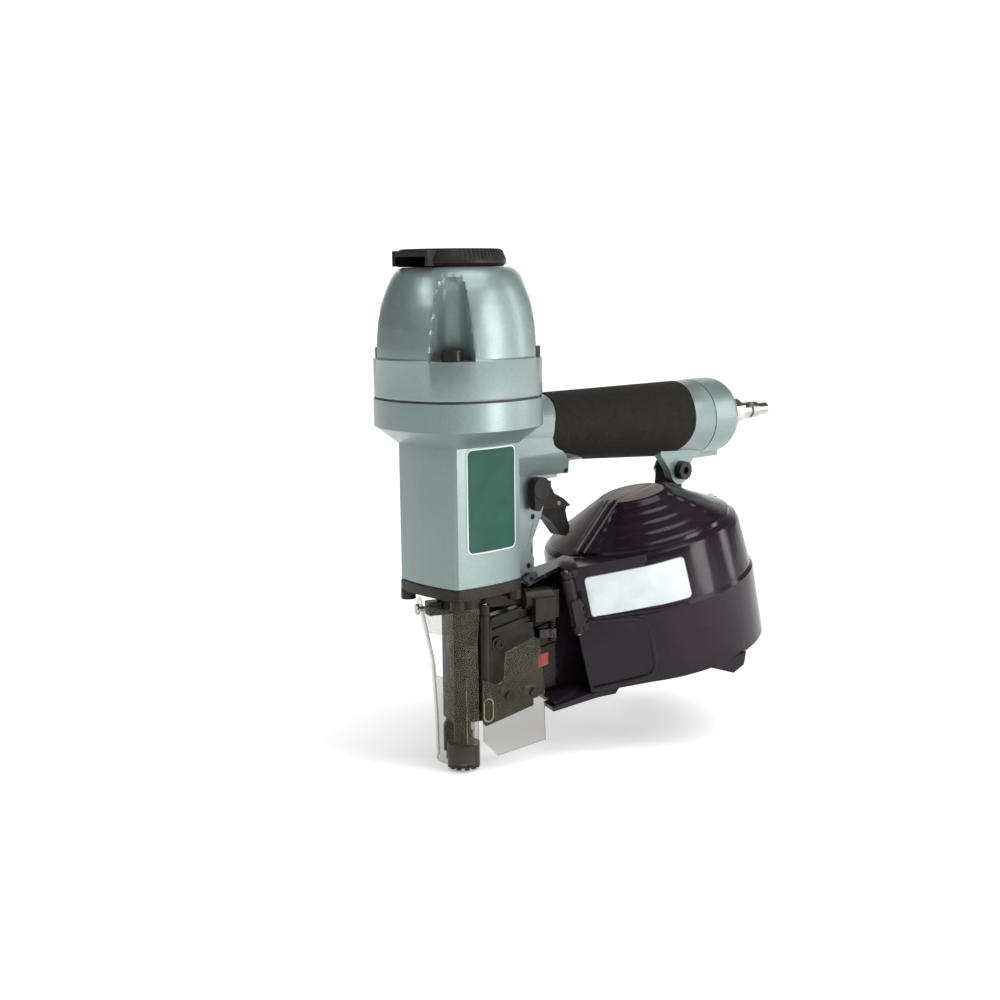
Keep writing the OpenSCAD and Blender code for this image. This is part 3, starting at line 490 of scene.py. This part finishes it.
def studio():
    """A white backdrop behind the tool, a darker room round it and a soft sun."""
    world = bpy.data.worlds.new("studio")
    bpy.context.scene.world = world
    world.use_nodes = True
    tree = world.node_tree
    where = tree.nodes.new("ShaderNodeTexCoord")
    along = tree.nodes.new("ShaderNodeVectorMath")
    along.operation = "DOT_PRODUCT"
    along.inputs[1].default_value = BACKDROP_TOWARDS
    bright = tree.nodes.new("ShaderNodeMapRange")
    bright.inputs["From Min"].default_value, bright.inputs["From Max"].default_value = BACKDROP_FADE
    bright.inputs["To Min"].default_value = ROOM
    bright.inputs["To Max"].default_value = BACKDROP
    background = tree.nodes["Background"]
    background.inputs["Color"].default_value = (1, 1, 1, 1)
    tree.links.new(where.outputs["Generated"], along.inputs[0])
    tree.links.new(along.outputs["Value"], bright.inputs["Value"])
    # The room lights the tool darker than it looks, so the sky is as white as the floor from every side
    seen = tree.nodes.new("ShaderNodeMapRange")
    seen.inputs["To Max"].default_value = BACKDROP
    tree.links.new(tree.nodes.new("ShaderNodeLightPath").outputs["Is Camera Ray"], seen.inputs["Value"])
    tree.links.new(bright.outputs[0], seen.inputs["To Min"])
    tree.links.new(seen.outputs[0], background.inputs["Strength"])
    bpy.context.scene.view_settings.view_transform = "Standard"
    bm = bmesh.new()
    bmesh.ops.create_grid(bm, x_segments=8, y_segments=8, size=FLOOR_HALF)
    bmesh.ops.translate(bm, verts=bm.verts, vec=FLOOR_AT)
    mesh = bpy.data.meshes.new("floor")
    bm.to_mesh(mesh)
    bm.free()
    floor = bpy.data.objects.new("floor", mesh)
    mesh.materials.append(floor_paper())
    bpy.context.scene.collection.objects.link(floor)
    data = bpy.data.lights.new("sun", "SUN")
    data.energy = SUN
    data.angle = math.radians(SUN_WIDTH)
    lamp = bpy.data.objects.new("sun", data)
    bpy.context.scene.collection.objects.link(lamp)
    lamp.rotation_mode = "QUATERNION"
    lamp.rotation_quaternion = Vector(SUN_ALONG).to_track_quat("-Z", "Y")
    middle = (0.1, 0, 0.14)
    softbox("right_strip", (1.2, -0.75, 0.5), middle, (0.22, 0.9), 4)
    softbox("left_high", (-0.95, 0.25, 0.95), (0, 0, 0.24), (0.4, 0.4), 4)
    softbox("corner", (0.42, -1.1, 0.35), (0, 0, 0.2), (0.36, 1.0), 10)


# ---------------------------------------------------------------- head cap
# (height, half width of the cap's sides) and (height, how far its corners stand out beyond them)
HALF = [
    (196.5, 40.2), (216, 40.2), (217, 39.8), (221, 39.8), (232.5, 38.8), (242, 37), (250.5, 34.6),
    (257.5, 31.6), (260.2, 28.8), (261, 27),
]
CORNER_OUT = [(196.5, 2.9), (221, 2.6), (232.5, 2.3), (242, 1.7), (250.5, 0.8), (257.5, 0.2), (261, 0)]
# The sides are arcs round points this far behind the drive axis
FLANGE_OFF = 15.8
CAP_LOW = 196.5
FLANGE_MIDDLE = 210
FLANGE_TOP = 216
DOME_FOOT = 216.3
CAP_TOP = 261
OUTLET_R = 17
BORE_R = 26
BORE_TOP = 245.5
SEAT_R = 29
SEAT_TOP = 211
SPIDER_AT = 254.6
# The flutes stand over the head's bolts, narrow upward and end in a rounded top
BOLT_AT = 35.6
FLUTE_R = 8.7
FLUTE_NARROWING = 0.06
FLUTE_TOP = 250


def between(table, at):
    """The table's second value at a first value of at, on straight lines between its points."""
    if at <= table[0][0]:
        return table[0][1]
    for (x0, y0), (x1, y1) in zip(table, table[1:]):
        if at <= x1:
            return y0 + (y1 - y0) * (at - x0) / (x1 - x0)
    return table[-1][1]


def soft_min(a, b, width):
    """The lower of a and b, rounded off where they meet within width."""
    h = max(0.0, min(1.0, 0.5 + 0.5 * (b - a) / width))
    return b * (1 - h) + a * h - width * h * (1 - h)


def cap_radius(angle, z, fluted=True):
    """Distance of the cap's wall from the drive axis: a bulged square whose corners carry the flutes."""
    half = between(HALF, z)
    face = (angle + math.pi / 4) % (math.pi / 2) - math.pi / 4
    arc = math.sqrt((half + FLANGE_OFF) ** 2 - (FLANGE_OFF * math.sin(face)) ** 2)
    r = -FLANGE_OFF * math.cos(face) + arc
    r = soft_min(r, half + between(CORNER_OUT, z), 1.2)
    if not fluted:
        return r
    rho = FLUTE_R - FLUTE_NARROWING * (min(z, FLUTE_TOP) - FLANGE_TOP)
    rho = math.sqrt(max(0.0, rho**2 - max(0.0, z - FLUTE_TOP) ** 2))
    if rho < 0.4:
        return r
    off = math.pi / 4 - abs(face)
    across = BOLT_AT * math.sin(off)
    flute = BOLT_AT * math.cos(off) - math.sqrt(max(0.0, rho**2 - across**2)) + 7 * max(0.0, across - rho)
    return soft_min(r, flute, 1.4)


def head_cap():
    """The cap's skin, from the outlet down the outside and up the bore, with the bars across the outlet."""
    steps = 360
    angles = [2 * math.pi * k / steps for k in range(steps)]

    def ring(z, radius):
        return [(radius(a) * math.cos(a), radius(a) * math.sin(a), z) for a in angles]

    def flange(angle, z, inset):
        dome = cap_radius(angle, DOME_FOOT) + 0.6 if z > 215.6 else 0
        return max(cap_radius(angle, FLANGE_MIDDLE, False) - inset, dome)

    rows = [
        ring(CAP_TOP, lambda a: OUTLET_R),
        ring(CAP_TOP, lambda a: min(26.2, cap_radius(a, CAP_TOP) - 0.6)),
    ]
    for z in [CAP_TOP, 260.6, 260, 259] + [258 - 2 * i for i in range(20)] + [218, 217]:
        rows.append(ring(z, lambda a, z=z: cap_radius(a, z)))
    rows.append(ring(DOME_FOOT, lambda a: cap_radius(a, DOME_FOOT) + 0.4))
    for z, inset in [(FLANGE_TOP, 1.2), (215.9, 0.2), (215.3, 0), (198, 0), (197, 0.2), (CAP_LOW, 0.8)]:
        rows.append(ring(z, lambda a, z=z, inset=inset: flange(a, z, inset)))
    seat = [(CAP_LOW, SEAT_R), (SEAT_TOP, SEAT_R)]
    bore = [(SEAT_TOP, BORE_R), (BORE_TOP, BORE_R), (BORE_TOP, OUTLET_R)]
    for z, r in seat + bore:
        rows.append(ring(z, lambda a, r=r: r))
    bm = grid(rows, closed_rows=True)
    sharpen(bm, 42)
    show("head_cap_finished", bm, CASTING, "head_cap", hides=["head_cap"])
    middle = Vector((0, 0, SPIDER_AT))
    for k in range(3):
        a = math.radians(60 * k)
        along = Vector((math.cos(a), math.sin(a), 0)) * (OUTLET_R + 0.3)
        bm = tube([middle - along, middle + along], 1.9)
        show("outlet_spider_%d" % k, bm, CASTING, "head_cap")


def deflector_flutes():
    """Fine upright ribs on the near right half of the deflector's rim."""
    middle = Vector((-2.1, 2, 0))
    for k in range(19):
        a = math.radians(240 + 5 * k)
        out = Vector((math.cos(a), math.sin(a), 0))
        low = middle + out * 27.6 + Vector((0, 0, 264.4))
        high = middle + out * 25.6 + Vector((0, 0, 269.2))
        show("deflector_rib_%02d" % k, tube([low, high], 0.75, 8), PLASTIC, "deflector")


# ---------------------------------------------------------------- drum
# The cone on top of the drum runs from the crown's boss down to its rim; heights are above the drum's base
BOSS_R = 18.5
BOSS_H = 77.0
RIM_H = 58.3
CONE_EDGE = 51.5
# Plan of the cover's flat near wall, and the angle at which it meets the drum's round one
WEDGE_START = (-63.0, -33.1)
WEDGE_ALONG = (0.901, -0.434)
WEDGE_END = 41.6
WALL_TURN = -116.5
WALL_R = 57.2
# (height, radius) of the round wall
DRUM_R = [(-12.7, 57.8), (26, 58.8), (28, 57.5), (53.3, 55.5)]
# The parting line between shell and cover, through a point beside the drum's axis
PARTING_ALONG = (-0.94, -0.342)
PARTING_OFF = -1.8


def cone_height(r):
    return BOSS_H - (r - BOSS_R) * (BOSS_H - RIM_H) / (CONE_EDGE - BOSS_R)


def wall(q, h, out):
    """A point of the cover's near wall: q rearward from its front edge, h above the base and out proud."""
    if q <= WEDGE_END:
        x, y = (WEDGE_START[i] + q * WEDGE_ALONG[i] for i in (0, 1))
        return DRUM @ Vector((x + WEDGE_ALONG[1] * out, y - WEDGE_ALONG[0] * out, h))
    turn = math.radians(WALL_TURN) + (q - WEDGE_END) / WALL_R
    r = max(between(DRUM_R, h), WALL_R - 0.1 * (q - WEDGE_END)) + out
    return DRUM @ Vector((r * math.cos(turn), r * math.sin(turn), h))


def on_cone(r, degrees, up):
    a = math.radians(degrees)
    return DRUM @ Vector((r * math.cos(a), r * math.sin(a), cone_height(r) + up))


def smooth(low, high, at):
    """0 at low, 1 at high and an even curve between; low may be the greater."""
    t = max(0.0, min(1.0, (at - low) / (high - low)))
    return t * t * (3 - 2 * t)


def near_relief(r, degrees):
    """How far the near cone stands proud: a sunk sector with four curved steps between broad borders."""
    around = smooth(212, 216, degrees) * smooth(309, 303, degrees)
    sunk = around * smooth(20.5, 22.5, r) * smooth(50.3, 48.8, r)
    step = ((r - 22) / 6.8) % 1
    return 0.25 + 1.35 * (1 - sunk) + 0.5 * sunk * smooth(0, 0.7, step) * smooth(1, 0.7, step)


def cone_skin(name, start, end, relief, look, node):
    """A relief skin on the drum's cone between two angles, thinned to nothing along its border."""
    columns = int((end - start) / 1.5)
    last = 70
    rings = [BOSS_R + 0.3 + (CONE_EDGE - 0.6 - BOSS_R) * i / last for i in range(last + 1)]
    rows = []
    for k in range(columns + 1):
        degrees = start + (end - start) * k / columns
        side = 0.1 if k in (0, columns) else 1
        top = []
        for i, r in enumerate(rings):
            share = 0.1 if i in (0, last) else side
            top.append(on_cone(r, degrees, relief(r, degrees) * share))
        rows.append(top + [on_cone(r, degrees, -0.3) for r in reversed(rings)])
    bm = grid(rows)
    sharpen(bm, 45)
    return show(name, bm, look, node)


def half_disc(name, start, look, node):
    """Half of the flat disc on the drum's crown, beside the parting line."""
    arc = [math.radians(start + 2.2 + 175.6 * i / 48) for i in range(49)]
    rows = [
        [DRUM @ Vector((r * math.cos(a), r * math.sin(a), BOSS_H + up)) for a in arc]
        for r, up in [(0.3, 0.8), (17.4, 0.8), (17.9, 0.5), (17.9, -0.2)]
    ]
    bm = grid(rows, closed_columns=False)
    bmesh.ops.contextual_create(bm, geom=[e for e in bm.edges if e.is_boundary])
    bmesh.ops.recalc_face_normals(bm, faces=bm.faces)
    sharpen(bm, 35)
    show(name, bm, look, node)


def parting_ribs():
    """Broad ribs beside the parting line, from the crown down over the strip."""
    up = DRUM.to_3x3() @ Vector((0, 0, 1))
    reach = [18.5, 24, 30, 36, 42, 47, 51]
    sides = [("near", -2.6, SMOKE, "magazine_cover"), ("far", 2.6, SMOKE_MATT, "magazine")]
    for name, shift, look, node in sides:
        side = Vector((PARTING_ALONG[1], -PARTING_ALONG[0])) * shift
        points = []
        for r in reach:
            x = r * PARTING_ALONG[0] + side[0]
            y = r * PARTING_ALONG[1] + PARTING_OFF + side[1]
            points.append(DRUM @ Vector((x, y, cone_height(r) + 1.2)))
        bm = rail(points, [up] * len(points), 3.6, 1.5)
        show("parting_rib_" + name, bm, look, node)


def drum_details():
    cone_skin("cover_cone_skin", 204.5, 376, near_relief, SMOKE, "magazine_cover")
    cone_skin("magazine_cone_skin", 24.5, 196, lambda r, a: 0.5, SMOKE_MATT, "magazine")
    half_disc("crown_disc_near", 200, CROWN, "magazine_cover")
    half_disc("crown_disc_far", 20, CROWN, "magazine")
    parting_ribs()
    # Rounded frame of the near wall's panel, and the ridge above it that runs on round the drum
    facing = (DRUM.to_3x3() @ Vector((WEDGE_ALONG[1], -WEDGE_ALONG[0], 0))).normalized()
    upper = [(1.5, 28.4), (10, 27.4), (20, 26.2), (31, 25), (34.6, 23.6), (36.8, 20.6), (37.4, 16)]
    lower = [(37.4, 2), (36.8, -4), (34.6, -7.6), (31, -9.2), (20, -9.8), (10, -10.2), (1.5, -10.6)]
    points = [wall(q, h, 0) for q, h in upper + lower]
    bm = rail(points, [facing] * len(points), 2.8, 1.3)
    show("panel_frame", bm, SMOKE, "magazine_cover")
    ridge = [(11, 29), (28, 28), (41, 27.2), (50, 26.8), (60, 26.4)]
    points = [wall(q, h, -0.2) for q, h in ridge]
    outs = [facing] * 3 + [wall(q, h, 1) - wall(q, h, 0) for q, h in ridge[3:]]
    show("wall_ridge", rail(points, outs, 2.2, 1.3), SMOKE, "magazine_cover")
    on_cover = ("magazine_cover", "label_green")
    label("drum_label_edge", wall, (8.4, 63.2), (29.3, 52.2), 2.4, 0.45, GREY_INK, *on_cover)
    label("drum_label", wall, (8.8, 62.8), (29.7, 51.8), 2.1, 0.6, PALE, *on_cover)


# ---------------------------------------------------------------- barrel label
# The barrel's near face is an arc of this radius, centred on the far side of the drive axis
BARREL_OFF = 79.3
BARREL_ROUND = 103.9


def barrel_face(x, z, out):
    return Vector((x, BARREL_OFF - math.sqrt((BARREL_ROUND + out) ** 2 - x**2), z))


def barrel_label():
    on_body = ("body_label", "label_green")
    label("label_border", barrel_face, (-16, 17), (119, 172), 3.2, 0.36, PALE, *on_body)
    hidden = ["body_label"]
    label("label_field", barrel_face, (-15.3, 16.3), (119.7, 171.3), 2.6, 0.52, GREEN, *on_body, hides=hidden)


# ---------------------------------------------------------------- springs
def coil(node, wire, turns, look=STEEL):
    """An upright wound spring in place of the CAD's plain tube."""
    low, high = (Vector(corner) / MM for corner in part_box(node))
    middle = (low + high) / 2
    matrix = Matrix.Translation((middle.x, middle.y, low.z))
    return wound(node, matrix, (high.x - low.x) / 2, high.z - low.z, wire, turns, look)


def wound(node, matrix, radius, length, wire, turns, look=STEEL):
    """A wound spring along the matrix's z axis."""
    around = 20
    mean = radius - wire
    rise = (length - 2 * wire) / (turns * around)
    points = []
    for k in range(turns * around + 1):
        a = 2 * math.pi * k / around
        points.append(matrix @ Vector((mean * math.cos(a), mean * math.sin(a), wire + rise * k)))
    return show(node + "_wound", tube(points, wire, 8), look, node, hides=[node])


def squashed(node, wire, turns):
    """A wound spring like coil's, on a mesh of its own."""
    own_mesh(coil(node, wire, turns))


def springs():
    """The springs' wires and turns; the feed spring lies along the feed rod."""
    squashed("lever_spring", 0.4, 9)
    squashed("head_valve_spring", 0.9, 4)
    squashed("plunger_spring", 0.25, 4)
    coil("pawl_spring", 0.45, 4, DARK_STEEL)
    seat = Matrix.Translation(in_track(39.9, -10, 89.5)) @ TRACK @ ALONG_X
    wound("feed_spring", seat, 3.3, 4, 0.45, 3)


# ---------------------------------------------------------------- nose details
def in_track(s, t, z):
    return TRACK @ Vector((s, t, z))


def facing_near(s, t, z):
    """Frame whose z axis points to the near side of the track."""
    return Matrix.Translation(in_track(s, t, z)) @ TRACK @ Matrix.Rotation(math.radians(90), 4, "X")


def nose_details():
    stop = facing_near(16.4, -11.3, 67)
    socket_screw("door_stop_screw", stop, 2.6, 1.2, BLACK, "guide_door")
    rim = []
    for a in (2 * math.pi * (k + 0.5) / 40 for k in range(40)):
        straight = 3.2 if math.sin(a) > 0 else -3.2
        rim.append(in_track(7.9 + 2.6 * math.cos(a), -16.4, 34 + 2.9 * math.sin(a) + straight))
    # The oval window's rim wears the clear sheets' painted edge highlight
    show("oval_rim_highlight", tube(rim, 0.35, 8, closed=True), EDGE_HIGHLIGHT, "side_shield")
    # Short cast ticks on the trigger web and at the handle's root
    for k in range(3):
        foot = Vector((36.6 + 1.6 * k, -11.1, 113 + 4.6 * k))
        cast_tick("web_mark_%d" % k, foot, Vector((2.4, 0, 3.6)))
    for k, foot in enumerate([(45.2, -16.3, 160.2), (47.2, -16.2, 160.0)]):
        cast_tick("root_mark_%d" % k, Vector(foot), Vector((2.2, -0.9, 3.4)))


def cast_tick(name, foot, along):
    show(name, tube([foot, foot + along], 0.4, 8), CASTING, "main_body")


def split_edges(node, facing):
    """Gives a clear sheet's narrow side faces, where facing is small, their own look: the plastic's yellow
    tint seen through its thickness, with a painted highlight as of light carried along inside the sheet.
    """
    piece = bpy.data.objects[node + "_finished"]
    piece.data.materials.append(EDGE_HIGHLIGHT)
    for f in piece.data.polygons:
        f.material_index = 0 if facing(f) > 0.75 else 1


def clear_sheets():
    across = TRACK @ Vector((0, 1, 0))
    along = TRACK @ Vector((1, 0, 0))

    def flat(f):
        return abs(f.normal.dot(across))

    def wrapped(f):
        from_axis = Vector((f.center.x, f.center.y, 0)).normalized()
        beside_track = flat(f) if f.center.dot(along) > -0.005 else 0
        return max(beside_track, abs(f.normal.dot(from_axis)))

    split_edges("side_shield", flat)
    split_edges("front_shield", wrapped)


# ---------------------------------------------------------------- pieces from the CAD
camera()
studio()
# Nodes with a darker look than their slot's
DARKER = {"door_screws": BLACK, "feed_pawl": DARK_STEEL}
HAND_BUILT = {"head_cap", "body_label"}
for name in sorted(NODES):
    slot = SLOT_OF[name]
    mesh = NODES[name].data
    mesh.materials.clear()
    mesh.materials.append(SLOT_LOOK[slot])
    if name in OUTSIDE and name not in HAND_BUILT:
        dress(name, DARKER.get(name, SLOT_LOOK[slot]), OUTSIDE[name])
head_cap()
deflector_flutes()
drum_details()
barrel_label()
springs()
nose_details()
clear_sheets()
